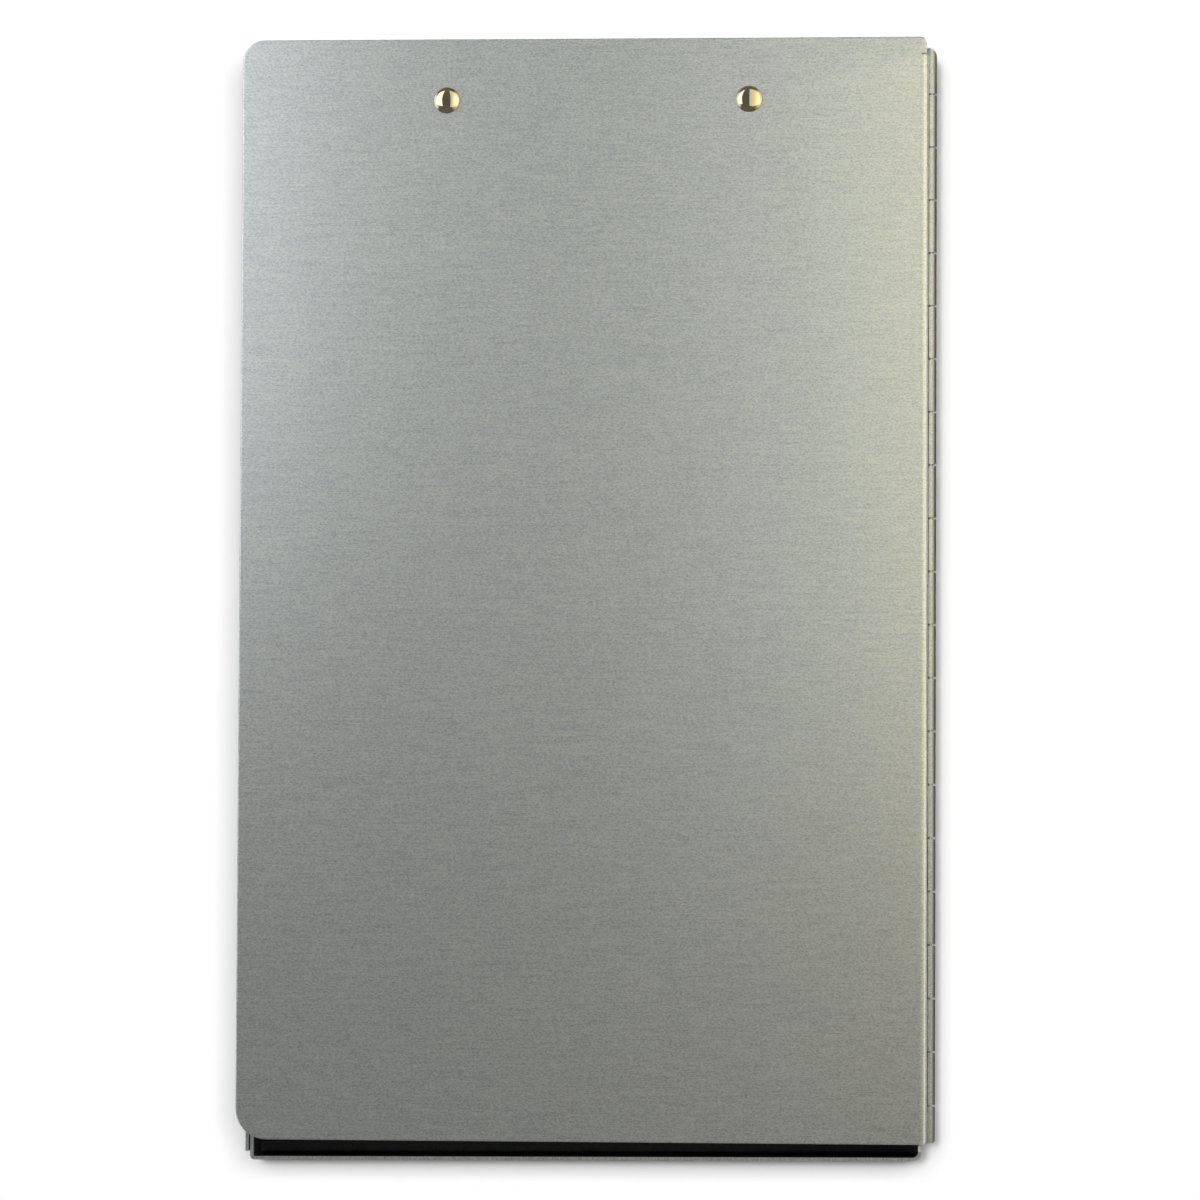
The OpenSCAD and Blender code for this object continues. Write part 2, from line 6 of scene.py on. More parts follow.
import bmesh
import bpy
from mathutils import Matrix, Vector

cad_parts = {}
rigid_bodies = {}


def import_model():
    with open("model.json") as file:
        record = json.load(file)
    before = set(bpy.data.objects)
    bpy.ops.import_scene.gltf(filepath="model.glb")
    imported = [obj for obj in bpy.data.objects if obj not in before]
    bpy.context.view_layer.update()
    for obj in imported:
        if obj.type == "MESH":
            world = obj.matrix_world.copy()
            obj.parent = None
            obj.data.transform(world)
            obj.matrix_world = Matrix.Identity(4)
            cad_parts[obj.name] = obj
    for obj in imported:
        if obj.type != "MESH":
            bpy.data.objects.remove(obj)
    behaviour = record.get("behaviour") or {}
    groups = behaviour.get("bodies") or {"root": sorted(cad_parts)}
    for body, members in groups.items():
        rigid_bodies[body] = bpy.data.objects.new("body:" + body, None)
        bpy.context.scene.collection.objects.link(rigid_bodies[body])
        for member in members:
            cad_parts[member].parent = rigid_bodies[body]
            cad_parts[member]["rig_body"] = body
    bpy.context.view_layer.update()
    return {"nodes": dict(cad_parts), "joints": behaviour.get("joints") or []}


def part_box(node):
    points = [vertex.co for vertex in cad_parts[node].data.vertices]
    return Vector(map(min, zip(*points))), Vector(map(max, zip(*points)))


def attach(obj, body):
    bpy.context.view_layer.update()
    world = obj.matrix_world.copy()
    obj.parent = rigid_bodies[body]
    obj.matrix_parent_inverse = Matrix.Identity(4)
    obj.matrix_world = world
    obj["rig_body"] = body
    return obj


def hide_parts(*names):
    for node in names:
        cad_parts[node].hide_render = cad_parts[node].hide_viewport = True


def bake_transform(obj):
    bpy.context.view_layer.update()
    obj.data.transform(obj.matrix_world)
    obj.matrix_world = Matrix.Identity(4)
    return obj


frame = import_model()

MM = 0.001
UM = 0.000001


# ---- Node trees written as calls and sums --------------------------------------------------------


class Wire:
    """An output socket that sums can be written on."""

    def __init__(self, tree, socket):
        self.tree = tree
        self.socket = socket

    def out(self, name):
        """Another output of the same node."""
        return Wire(self.tree, self.socket.node.outputs[name])

    def __add__(self, other):
        return self.tree.maths("ADD", self, other)

    def __sub__(self, other):
        return self.tree.maths("SUBTRACT", self, other)

    def __rsub__(self, other):
        return self.tree.maths("SUBTRACT", other, self)

    def __mul__(self, other):
        return self.tree.maths("MULTIPLY", self, other)

    def __truediv__(self, other):
        return self.tree.maths("DIVIDE", self, other)

    __radd__ = __add__
    __rmul__ = __mul__


class Tree:
    """A node tree: each call takes a node's type, its settings and the values or links of its sockets."""

    def __init__(self, tree):
        self.tree = tree
        tree.nodes.clear()

    def node(self, kind, settings=None, sockets=None, output=0):
        made = self.tree.nodes.new(kind)
        for key, value in (settings or {}).items():
            setattr(made, key, value)
        pairs = sockets.items() if isinstance(sockets, dict) else enumerate(sockets or [])
        for key, value in pairs:
            if isinstance(value, Wire):
                self.tree.links.new(value.socket, made.inputs[key])
            else:
                made.inputs[key].default_value = value
        return Wire(self, made.outputs[output]) if made.outputs else None

    def maths(self, operation, *numbers):
        return self.node("ShaderNodeMath", {"operation": operation}, numbers)

    def vectors(self, operation, *vectors):
        return self.node("ShaderNodeVectorMath", {"operation": operation}, vectors)

    def shade(self, colour, factor):
        """A colour made lighter or darker by a factor."""
        return self.node("ShaderNodeVectorMath", {"operation": "SCALE"}, {0: colour, "Scale": factor})

    def limit(self, value, low, high, low_out=0.0, high_out=1.0):
        """Spreads low to high smoothly over low_out to high_out."""
        return self.node(
            "ShaderNodeMapRange", {"interpolation_type": "SMOOTHSTEP", "clamp": True},
            {"Value": value, "From Min": low, "From Max": high, "To Min": low_out, "To Max": high_out},
        )


# ---- Finishes ------------------------------------------------------------------------------------


class Finish(Tree):
    """A metal or rubber finish whose patterns are laid out in the object's own metres."""

    def __init__(self, name):
        self.material = bpy.data.materials.new(name)
        self.material.use_nodes = True
        super().__init__(self.material.node_tree)
        self.place = self.node("ShaderNodeTexCoord", output="Object")

    def grain(self, per_metre, detail=2.0, roughness=0.5, seed=0.0):
        """Noise from 0 to 1 with its own number of features per metre along each axis."""
        stretched = self.node(
            "ShaderNodeMapping", {"vector_type": "POINT"},
            {"Vector": self.place, "Location": (seed, seed, seed), "Scale": per_metre},
        )
        return self.node(
            "ShaderNodeTexNoise", {"noise_dimensions": "3D", "normalize": True},
            {"Vector": stretched, "Scale": 1.0, "Detail": detail, "Roughness": roughness},
        )

    def mark(self, name):
        """A number that the mesh keeps under a name."""
        return self.node(
            "ShaderNodeAttribute", {"attribute_type": "GEOMETRY", "attribute_name": name}, output="Fac"
        )

    def blend(self, share, first, second):
        """Goes from one colour to another as the share goes from 0 to 1."""
        return self.node(
            "ShaderNodeMix", {"data_type": "RGBA"}, {0: share, 6: (*first, 1), 7: (*second, 1)}, output=2
        )

    def bump(self, height, depth):
        """The surface's direction with a height pattern of that depth in metres."""
        return self.node("ShaderNodeBump", None, {"Strength": 1.0, "Distance": depth, "Height": height})

    def finish(self, colour, roughness, normal, metallic=1.0):
        """Ends the tree in one surface shader."""
        surface = self.node("ShaderNodeBsdfPrincipled", None, {
            "Base Color": colour, "Roughness": roughness, "Metallic": metallic, "Normal": normal
        })
        self.node("ShaderNodeOutputMaterial", None, {"Surface": surface})
        return self.material


BARE_ALUMINIUM = (0.865, 0.94, 1.0)
SOFT_ALUMINIUM = (0.74, 0.745, 0.75)
DRAWN_STEEL = (0.60, 0.60, 0.61)
TURNED_STEEL = (0.58, 0.58, 0.59)
BLUED_STEEL = (0.42, 0.43, 0.46)
STRAW_STEEL = (0.52, 0.50, 0.48)
SATIN_NICKEL = (0.70, 0.69, 0.66)
GOLDEN_NICKEL = (0.84, 0.74, 0.53)
STAINED_NICKEL = (0.76, 0.66, 0.45)
CLEAN_RUBBER = (0.018, 0.018, 0.019)
DUSTY_RUBBER = (0.06, 0.058, 0.055)

INSIDE_PAINTED_SHADE = 0.35  # share of the colour taken from the inside of the case, as painted shade
END_PAINTED_SHADE = 0.42  # and taken besides near its open end: more painted shade, darkest in the slot there
END_SHADE_START = 140 * MM  # from the middle of the case to where that darker end starts
END_SHADE_FULL = 182 * MM  # and to where it is darkest
CURL_PAINTED_SHADE = 0.75  # share of the colour taken from the far flanks of the rolled knuckles, as painted shade
RIM_PAINTED_SHADE = 0.8  # share of the colour taken from the edge of a rivet's head, as painted shade where it meets the sheet


def sheet_aluminium(name, dashes_per_metre, hairs_per_metre, sheen):
    """Sheet brushed one way: short scratches, a few long hairs, faint clouds, and painted shade inside the
    case and on knuckle flanks.
    """
    metal = Finish(name)
    dashes = metal.limit(metal.grain(dashes_per_metre, detail=2.0, roughness=0.6), 0.30, 0.70)
    specks = metal.limit(metal.grain(per_metre=(1900, 2300, 1900), detail=1.0, seed=8.1), 0.30, 0.70)
    hairs = metal.grain(hairs_per_metre, detail=2.0, roughness=0.6, seed=3.7)
    clouds = metal.grain(per_metre=(26, 40, 26), detail=3.0, seed=5.3)
    tone = sheen * (0.59 + 0.28 * dashes + 0.12 * specks + 0.30 * hairs + 0.04 * clouds)
    along = metal.node("ShaderNodeSeparateXYZ", None, [metal.place]).out("Y")
    # painted shade: the case's inside is darker, most of all near its open end
    inside_painted_shade = INSIDE_PAINTED_SHADE + END_PAINTED_SHADE * metal.limit(0.0 - along, END_SHADE_START, END_SHADE_FULL)
    # painted shade: the rolled knuckles grow darker down their far flanks
    painted_shade = 1.0 - inside_painted_shade * metal.mark("inside") - CURL_PAINTED_SHADE * metal.mark("curl")
    colour = metal.shade(BARE_ALUMINIUM, tone * painted_shade)
    roughness = 0.48 + 0.06 * dashes + 0.06 * hairs
    scratches = metal.bump(dashes * 0.6 + specks * 0.2 + hairs * 0.2, depth=20 * UM)
    return metal.finish(colour, roughness, scratches)


def brushed_aluminium():
    """The plate, brushed across."""
    return sheet_aluminium(
        "brushed_aluminium",
        dashes_per_metre=(1150, 2700, 1150), hairs_per_metre=(80, 1700, 80), sheen=1.0,
    )


def mill_aluminium():
    """The tray and the striker, with lines along the case."""
    return sheet_aluminium(
        "mill_aluminium",
        dashes_per_metre=(2800, 650, 2800), hairs_per_metre=(1700, 90, 1700), sheen=0.97,
    )


def drawn_wire():
    """Bright steel wire drawn along the hinge, with fine lines along it."""
    metal = Finish("drawn_wire")
    lines = metal.grain(per_metre=(9000, 60, 9000), detail=1.0)
    stains = metal.grain(per_metre=(200, 90, 200), detail=3.0, seed=1.9)
    colour = metal.shade(DRAWN_STEEL, 0.85 + 0.15 * lines + 0.10 * stains)
    return metal.finish(colour, roughness=0.22 + 0.12 * stains, normal=metal.bump(lines, depth=6 * UM))


def axle_steel():
    """Turned steel rod across the clip, with fine lines round it."""
    metal = Finish("axle_steel")
    rings = metal.grain(per_metre=(6000, 300, 300), detail=1.0)
    stains = metal.grain(per_metre=(90, 200, 200), detail=3.0, seed=1.1)
    colour = metal.shade(TURNED_STEEL, 0.85 + 0.15 * rings + 0.10 * stains)
    return metal.finish(colour, roughness=0.22 + 0.12 * stains, normal=metal.bump(rings, depth=6 * UM))


def rivet_aluminium():
    """Soft bright aluminium with the small marks of the setting tool."""
    metal = Finish("rivet_aluminium")
    pits = metal.grain(per_metre=(1600, 1600, 1600), detail=3.0)
    stains = metal.grain(per_metre=(260, 260, 260), detail=2.0, seed=4.4)
    colour = metal.shade(SOFT_ALUMINIUM, 0.90 + 0.10 * pits + 0.06 * stains)
    return metal.finish(colour, roughness=0.24 + 0.16 * pits, normal=metal.bump(pits, depth=16 * UM))


def warm_nickel():
    """Polished rivet heads with a warm plated colour, hair-fine polishing marks and painted shade at their
    edges.
    """
    metal = Finish("warm_nickel")
    marks = metal.grain(per_metre=(3000, 5000, 3000), detail=2.0)
    stains = metal.grain(per_metre=(420, 420, 420), detail=3.0, seed=9.2)
    plated = metal.blend(metal.limit(stains, 0.35, 0.75), GOLDEN_NICKEL, STAINED_NICKEL)
    # painted shade: the heads darker at their edges, where they meet the sheet
    colour = metal.shade(plated, 1.0 - RIM_PAINTED_SHADE * metal.mark("painted_rim_shade"))
    return metal.finish(colour, roughness=0.06 + 0.06 * stains, normal=metal.bump(marks, depth=1.5 * UM))


def satin_nickel():
    """Nickel-plated steel strip: satin, faintly yellow, with lines along the clip and small pits."""
    metal = Finish("satin_nickel")
    lines = metal.grain(per_metre=(30, 1500, 1500), detail=2.0, roughness=0.6)
    pits = metal.grain(per_metre=(1300, 1300, 1300), detail=3.0, seed=2.8)
    clouds = metal.grain(per_metre=(45, 70, 70), detail=3.0, seed=7.7)
    colour = metal.shade(SATIN_NICKEL, 0.90 + 0.08 * lines + 0.08 * clouds)
    roughness = 0.20 + 0.08 * pits + 0.08 * clouds
    return metal.finish(colour, roughness, normal=metal.bump(lines * 0.5 + pits * 0.5, depth=4 * UM))


def spring_steel():
    """Oil-tempered spring steel, blue-grey with straw-coloured heat marks."""
    metal = Finish("spring_steel")
    lines = metal.grain(per_metre=(700, 700, 700), detail=3.0)
    heat = metal.grain(per_metre=(120, 160, 160), detail=2.0, seed=3.3)
    colour = metal.blend(metal.limit(heat, 0.3, 0.7), BLUED_STEEL, STRAW_STEEL)
    return metal.finish(colour, roughness=0.24 + 0.16 * lines, normal=metal.bump(lines, depth=8 * UM))


def pad_rubber():
    """Matt black rubber with a moulded grain and dusty high spots."""
    rubber = Finish("pad_rubber")
    grit = rubber.grain(per_metre=(2400, 2400, 2400), detail=2.0)
    dust = rubber.grain(per_metre=(160, 160, 160), detail=4.0, seed=6.1)
    colour = rubber.blend(rubber.limit(dust, 0.5, 0.85), CLEAN_RUBBER, DUSTY_RUBBER)
    normal = rubber.bump(grit, depth=30 * UM)
    return rubber.finish(colour, roughness=0.62 + 0.2 * grit, normal=normal, metallic=0.0)


# ---- Meshes from the CAD nodes -------------------------------------------------------------------

SAME_POINT = 2 * UM  # points nearer than this are one
FLAT = radians(0.5)  # faces nearer than this lie in one plane
EDGE = radians(30)  # faces further apart than this meet in an edge that was cut or folded
RIVET_EDGE = radians(40)  # the same on small rivets
WIRE_EDGE = radians(50)  # and on thin round wire, whose own faces are further apart


def cad_mesh(node):
    """A CAD node's mesh with its loose triangles joined."""
    shape = bmesh.new()
    shape.from_mesh(frame["nodes"][node].data)
    bmesh.ops.remove_doubles(shape, verts=shape.verts, dist=SAME_POINT)
    return shape


def merged(node):
    """A CAD node's mesh with its flat faces made whole."""
    shape = cad_mesh(node)
    bmesh.ops.dissolve_limit(
        shape, angle_limit=FLAT, verts=shape.verts, edges=shape.edges, use_dissolve_boundaries=False
    )
    return shape


def solids(node):
    """The lowest and highest corner of each separate solid of a CAD node."""
    shape = cad_mesh(node)
    left = set(shape.verts)
    boxes = []
    while left:
        reached = [left.pop()]
        for vert in reached:
            for edge in vert.link_edges:
                other = edge.other_vert(vert)
                if other in left:
                    left.discard(other)
                    reached.append(other)
        corners = [vert.co for vert in reached]
        boxes.append((
            Vector(min(corner[axis] for corner in corners) for axis in range(3)),
            Vector(max(corner[axis] for corner in corners) for axis in range(3)),
        ))
    shape.free()
    return sorted(boxes, key=lambda box: tuple(box[0]))


def outer_edges(shape, keep=lambda edge: True):
    """The edges where two faces meet at a corner that sticks out."""
    return [
        edge for edge in shape.edges
        if edge.is_manifold and edge.calc_face_angle_signed(0) > EDGE and keep(edge)
    ]


def bevelled(shape, edges, width, segments=2, clamp=True):
    bmesh.ops.bevel(
        shape, geom=edges, offset=width, offset_type="OFFSET", segments=segments,
        profile=0.5, affect="EDGES", clamp_overlap=clamp,
    )


def marked(shape, name, wanted):
    """Keeps how far each face is wanted, from 0 to 1, under a name that a finish reads."""
    marks = shape.faces.layers.float.new(name)
    for face in shape.faces:
        face[marks] = float(wanted(face))


def mesh_of(shape, name):
    mesh = bpy.data.meshes.new(name)
    shape.to_mesh(mesh)
    shape.free()
    return mesh


def added(name, data):
    """A new object in the scene, at the origin."""
    thing = bpy.data.objects.new(name, data)
    bpy.context.scene.collection.objects.link(thing)
    return thing


def applied(holder):
    """The mesh that an object's modifiers make; the object itself goes."""
    bpy.context.view_layer.update()
    seen = holder.evaluated_get(bpy.context.evaluated_depsgraph_get())
    mesh = bpy.data.meshes.new_from_object(seen)
    bpy.data.objects.remove(holder)
    return mesh


def smoothed(mesh, angle=EDGE):
    """Rounds the shading of curved faces and keeps the flat ones flat."""
    mesh.polygons.foreach_set("use_smooth", [True] * len(mesh.polygons))
    mesh.set_sharp_from_angle(angle=angle)
    holder = added("holder", mesh)
    level = holder.modifiers.new("level", "WEIGHTED_NORMAL")
    level.mode = "FACE_AREA"
    level.weight = 50
    level.keep_sharp = True
    return applied(holder)


def placed(name, mesh, finish, body, slot, *nodes):
    """Shows a finished mesh: its material, its body and the CAD nodes that it stands for; its slot is not
    used.
    """
    piece = added(name, mesh)
    mesh.materials.clear()
    mesh.materials.append(finish)
    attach(piece, body)
    if nodes:
        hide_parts(*nodes)
    return piece


def dressed(node, finish, slot, width, segments=2, before=None):
    """A CAD node's own shape with its outer edges broken, in place of the node."""
    shape = merged(node)
    if before:
        before(shape)
    bevelled(shape, outer_edges(shape), width, segments)
    mesh = smoothed(mesh_of(shape, node))
    return placed(node + "_piece", mesh, finish, frame["nodes"][node]["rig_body"], slot, node)


def joint_place(name):
    """A point on a joint's axis."""
    return next(Vector(joint["pos_m"]) for joint in frame["joints"] if joint["name"] == name)


# ---- Pieces that geometry nodes make -------------------------------------------------------------


class Grower(Tree):
    """A geometry tree with named sizes, which turns a small mesh into a finished one."""

    def __init__(self, name, sizes):
        super().__init__(bpy.data.node_groups.new(name, "GeometryNodeTree"))
        self.sizes = sizes
        face = self.tree.interface
        face.new_socket("Geometry", in_out="INPUT", socket_type="NodeSocketGeometry")
        for label, value in sizes.items():
            kind = "NodeSocketInt" if isinstance(value, int) else "NodeSocketFloat"
            face.new_socket(label, in_out="INPUT", socket_type=kind)
        face.new_socket("Geometry", in_out="OUTPUT", socket_type="NodeSocketGeometry")
        self.given = self.node("NodeGroupInput")

    def size(self, label):
        return self.given.out(label)

    def vector(self, x, y, z):
        return self.node("ShaderNodeCombineXYZ", None, [x, y, z])

    def raised(self, geometry, height):
        offset = self.vector(0.0, 0.0, height)
        return self.node("GeometryNodeTransform", None, {"Geometry": geometry, "Translation": offset})

    def joined(self, *parts):
        join = self.node("GeometryNodeJoinGeometry")
        for part in parts:
            self.tree.links.new(part.socket, join.socket.node.inputs[0])
        return join

    def wire(self, diameter, sides):
        """Round wire along the small mesh's edges, closed at both ends."""
        path = self.node("GeometryNodeMeshToCurve", None, {"Mesh": self.given})
        ring = self.node("GeometryNodeCurvePrimitiveCircle", {"mode": "RADIUS"}, {
            "Resolution": sides, "Radius": diameter * 0.5
        })
        return self.node("GeometryNodeCurveToMesh", None, {
            "Curve": path, "Profile Curve": ring, "Fill Caps": True
        })

    def end(self, geometry, material):
        """Every tree ends in real geometry with its material on it."""
        real = self.node("GeometryNodeRealizeInstances", None, {"Geometry": geometry})
        coated = self.node("GeometryNodeSetMaterial", None, {"Geometry": real, "Material": material})
        self.node("NodeGroupOutput", None, [coated])

    def grow(self, seed_mesh):
        """Runs the tree on a mesh with its sizes set, and returns the plain result."""
        holder = added("holder", seed_mesh)
        growth = holder.modifiers.new("growth", "NODES")
        growth.node_group = self.tree
        for item in self.tree.interface.items_tree:
            if item.in_out == "INPUT" and item.name in self.sizes:
                growth[item.identifier] = self.sizes[item.name]
        return applied(holder)


def points_mesh(places, axes):
    """A mesh of loose points, each with the direction that a fastener's head faces."""
    mesh = bpy.data.meshes.new("points")
    mesh.from_pydata(places, [], [])
    facing = mesh.attributes.new("facing", "FLOAT_VECTOR", "POINT")
    facing.data.foreach_set("vector", [value for axis in axes for value in axis])
    return mesh


def line_mesh(points):
    """A mesh of edges through a list of points."""
    mesh = bpy.data.meshes.new("line")
    mesh.from_pydata(points, [(i, i + 1) for i in range(len(points) - 1)], [])
    return mesh


# ---- Rivets --------------------------------------------------------------------------------------

HEAD_SIDES = 48
HEAD_RINGS = 32
SHANK_SIDES = 32
EQUATOR = pi / 2  # angle from a ball's crown to its widest ring
PAST_EQUATOR = 0.001
RIM_SHADE_START = 0.93  # share of the way from a head's crown to its edge where its painted edge shade starts
FOOT_REACH = 1.1  # puts the first ring past the widest one at the full radius, as the rim's foot


def cap(tree, diameter, height, rim, sign):
    """A domed head with a short upright rim, standing on z = 0, or hanging below it where sign is -1."""
    ball = tree.node("GeometryNodeMeshUVSphere", None, {
        "Segments": HEAD_SIDES, "Rings": HEAD_RINGS, "Radius": 1.0
    })
    place = tree.node("ShaderNodeSeparateXYZ", None, [tree.node("GeometryNodeInputPosition")])
    outward = tree.vectors("NORMALIZE", tree.vector(place.out("X"), place.out("Y"), 0.0))
    polar = tree.maths("ARCCOSINE", place.out("Z"))
    # painted shade: how far towards its edge a head is darkened, for the dark line where it meets the
    # sheet
    painted_rim_shade = tree.limit(polar, RIM_SHADE_START * EQUATOR, EQUATOR)
    ball = tree.node("GeometryNodeStoreNamedAttribute", {"data_type": "FLOAT", "domain": "POINT"}, {
        "Geometry": ball, "Name": "painted_rim_shade", "Value": painted_rim_shade
    })
    radius = diameter * 0.5
    dome = height - rim
    dome_r = (radius * radius + dome * dome) / (dome * 2.0)
    angle = polar / EQUATOR * tree.maths("ARCSINE", radius / dome_r)
    is_under = tree.maths("GREATER_THAN", polar, EQUATOR + PAST_EQUATOR)
    is_dome = 1.0 - is_under
    under = tree.maths("MINIMUM", (pi - polar) / EQUATOR * FOOT_REACH, 1.0)
    spread = is_under * (under * radius) + is_dome * (tree.maths("SINE", angle) * dome_r)
    level = is_dome * (tree.maths("COSINE", angle) * dome_r - dome_r + height)
    out = tree.node("ShaderNodeVectorMath", {"operation": "SCALE"}, {0: outward, "Scale": spread})
    up = tree.vector(0.0, 0.0, level * sign)
    formed = tree.node("GeometryNodeSetPosition", None, {
        "Geometry": ball, "Position": tree.vectors("ADD", out, up)
    })
    if sign < 0:
        return tree.node("GeometryNodeFlipFaces", None, {"Mesh": formed})
    return formed


def rivet_mesh(places, axes, finish, sizes):
    """Set rivets at points: a domed head above the sheet, the shank and the tail below the grip."""
    tree = Grower("set_rivets", sizes)
    head = cap(tree, tree.size("Head Diameter"), tree.size("Head Height"), tree.size("Head Rim"), 1.0)
    tail = cap(tree, tree.size("Tail Diameter"), tree.size("Tail Height"), tree.size("Tail Rim"), -1.0)
    grip = tree.size("Grip")
    shank = tree.node("GeometryNodeMeshCylinder", None, {
        "Vertices": SHANK_SIDES, "Radius": tree.size("Shank Diameter") * 0.5, "Depth": grip
    })
    rivet = tree.joined(head, tree.raised(tail, grip * -1.0), tree.raised(shank, grip * -0.5))
    facing = tree.node(
        "GeometryNodeInputNamedAttribute", {"data_type": "FLOAT_VECTOR"}, {"Name": "facing"}
    )
    turn = tree.node("FunctionNodeAlignRotationToVector", {"axis": "Z"}, {"Vector": facing})
    rivets = tree.node("GeometryNodeInstanceOnPoints", None, {
        "Points": tree.given, "Instance": rivet, "Rotation": turn
    })
    tree.end(rivets, finish)
    return smoothed(tree.grow(points_mesh(places, axes)), RIVET_EDGE)


def set_rivets(node, finish, slot, axis, sizes):
    """Detailed rivets in place of a CAD node's: axis is where their heads face, or None for outwards."""
    places = []
    axes = []
    for low, high in solids(node):
        middle = (low + high) / 2
        facing = Vector(axis) if axis else Vector((1 if middle.x > 0 else -1, 0, 0))
        length = abs((high - low).dot(facing))  # all rivets of a node are the same length
        places.append(middle + facing * (length / 2 - sizes["Head Height"]))
        axes.append(facing)
    grip = {"Grip": length - sizes["Head Height"] - sizes["Tail Height"]}
    mesh = rivet_mesh(places, axes, finish, sizes | grip)
    return placed(node + "_piece", mesh, finish, frame["nodes"][node]["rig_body"], slot, node)


CLIP_RIVET = {
    "Head Diameter": 9.4 * MM, "Head Height": 2 * MM, "Head Rim": 0.06 * MM,
    "Shank Diameter": 4.8 * MM,
    "Tail Diameter": 7.6 * MM, "Tail Height": 1.2 * MM, "Tail Rim": 0.8 * MM,
}
CORNER_RIVET = {
    "Head Diameter": 4.6 * MM, "Head Height": 0.7 * MM, "Head Rim": 0.15 * MM,
    "Shank Diameter": 2.4 * MM,
    "Tail Diameter": 4.6 * MM, "Tail Height": 0.7 * MM, "Tail Rim": 0.4 * MM,
}
LATCH_RIVET = {
    "Head Diameter": 3.8 * MM, "Head Height": 0.6 * MM, "Head Rim": 0.15 * MM,
    "Shank Diameter": 2 * MM,
    "Tail Diameter": 3.8 * MM, "Tail Height": 0.6 * MM, "Tail Rim": 0.35 * MM,
}


# ---- Spring --------------------------------------------------------------------------------------

WIRE_D = 1.2 * MM
WIRE_SIDES = 20
COIL_R = 2.5 * MM  # to the wire's middle
COIL_TURNS = 6
COIL_GAP = 0.12 * MM
COIL_STEP = 9  # degrees round the axle from point to point
LEG_L = 11 * MM
LEG_GAP = 0.1 * MM  # between a leg and the sheet that it presses on
CLIP_T = 1.2 * MM
LEVER_TILT = 14  # degrees between the closed lever and the base
EAR_R = 3.2 * MM
LEVER_GAP = 0.4 * MM


def spring_path(pivot, plate_inside):
    """The wire's middle line: up one leg, round the axle and out along the other leg."""
    axle_h = plate_inside - pivot.z
    leg_reach = hypot(COIL_R, LEG_L)
    lead = degrees(atan2(COIL_R, LEG_L))
    base_leg = degrees(asin((axle_h - CLIP_T - WIRE_D / 2 - LEG_GAP) / leg_reach)) - lead
    lever_room = EAR_R + LEVER_GAP - WIRE_D / 2 - LEG_GAP
    lever_leg = LEVER_TILT + degrees(asin(lever_room / leg_reach)) - lead
    sweep = 180 - base_leg - lever_leg + 360 * COIL_TURNS
    half = (WIRE_D + COIL_GAP) * sweep / 360 / 2

    def at(x, y, up):
        return pivot + Vector((x, y, -up))

    def round_axle(degrees_round):
        turn = radians(degrees_round)
        return COIL_R * cos(turn), COIL_R * sin(turn)

    start = 270 - base_leg
    y, up = round_axle(start)
    points = [at(-half, y + LEG_L * cos(radians(base_leg)), up - LEG_L * sin(radians(base_leg)))]
    steps = ceil(sweep / COIL_STEP)
    for i in range(steps + 1):
        y, up = round_axle(start - sweep * i / steps)
        points.append(at(-half + 2 * half * i / steps, y, up))
    y, up = round_axle(90 + lever_leg)
    points.append(at(half, y + LEG_L * cos(radians(lever_leg)), up + LEG_L * sin(radians(lever_leg))))
    return points, half


def clip_spring(finish):
    """Torsion spring of smooth round wire between the plate's clip base and the lever."""
    pivot = joint_place("clip_lever_hinge")
    plate_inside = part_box("clip_base")[1].z
    points, half = spring_path(pivot, plate_inside)
    tree = Grower("spring_wire", {"Wire Diameter": WIRE_D, "Sides": WIRE_SIDES})
    tree.end(tree.wire(tree.size("Wire Diameter"), tree.size("Sides")), finish)
    piece = added("clip_spring_piece", smoothed(tree.grow(line_mesh(points)), WIRE_EDGE))
    pivot - Vector((half, 0, 0))
    pivot + Vector((half, 0, 0))
    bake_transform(piece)
    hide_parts("clip_spring")
    return piece


# ---- Jaw pads ------------------------------------------------------------------------------------

PAD_EDGE = 0.35 * MM
RIB_D = 0.5 * MM
RIB_SIDES = 10
RIB_PITCH = 2 * MM
RIB_INSET = RIB_D / 4  # from a pad's face in to the middle line of its ribs
RIB_FOOT = 0.6 * MM  # from a pad's edge to the ends of its ribs
RIB_CORNER_R = 0.5 * MM
RIB_CORNER_STEPS = 4


def rib_path(x, low, high):
    """A rib's middle line: up one side of a pad, over its top with round corners, down the other side."""
    front, back = low.y + RIB_INSET, high.y - RIB_INSET
    foot, top = low.z + RIB_FOOT, high.z - RIB_INSET
    points = [(x, front, foot)]
    for corner_y, first in ((front + RIB_CORNER_R, 180), (back - RIB_CORNER_R, 90)):
        for i in range(RIB_CORNER_STEPS + 1):
            turn = radians(first - 90 * i / RIB_CORNER_STEPS)
            level = top - RIB_CORNER_R + RIB_CORNER_R * sin(turn)
            points.append((x, corner_y + RIB_CORNER_R * cos(turn), level))
    points.append((x, back, foot))
    return points


